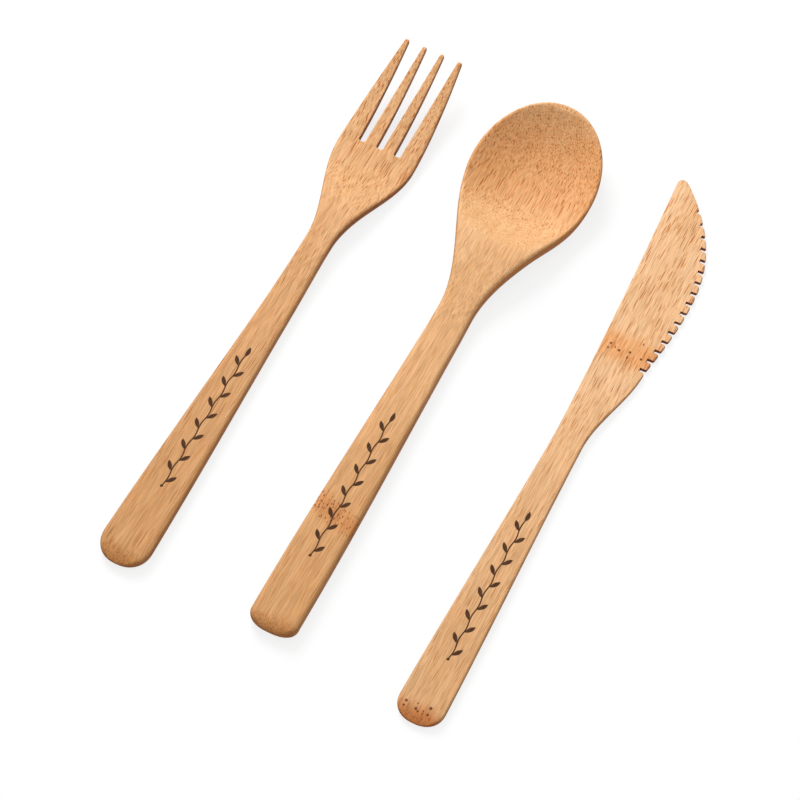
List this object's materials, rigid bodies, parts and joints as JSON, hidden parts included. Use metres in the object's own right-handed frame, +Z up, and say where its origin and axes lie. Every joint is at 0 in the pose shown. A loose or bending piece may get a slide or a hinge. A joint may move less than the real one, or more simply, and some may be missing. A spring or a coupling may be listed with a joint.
{
  "type": "wooden cutlery pack",
  "caption": "Flat bamboo cutlery lying side by side: a fork with slender rising tines, a spoon with an oval bowl and a table knife with a serrated edge.",
  "frame": {"origin": "on the table, under the middle of the box around the whole set", "axes": "+Y along the pieces from the handles to the tips, +X from the fork towards the knife, +Z up from the table"},
  "size_m": [0.1234, 0.2016, 0.0124],
  "materials": {
    "bamboo_fork": "matt, sanded bamboo with fine long grain",
    "bamboo_spoon": "matt, sanded bamboo with fine long grain",
    "bamboo_knife": "matt, sanded bamboo with fine long grain"
  },
  "bodies": {
    "root": {"fork": "bamboo_fork", "spoon": "bamboo_spoon", "knife": "bamboo_knife"}
  },
  "joints": []
}
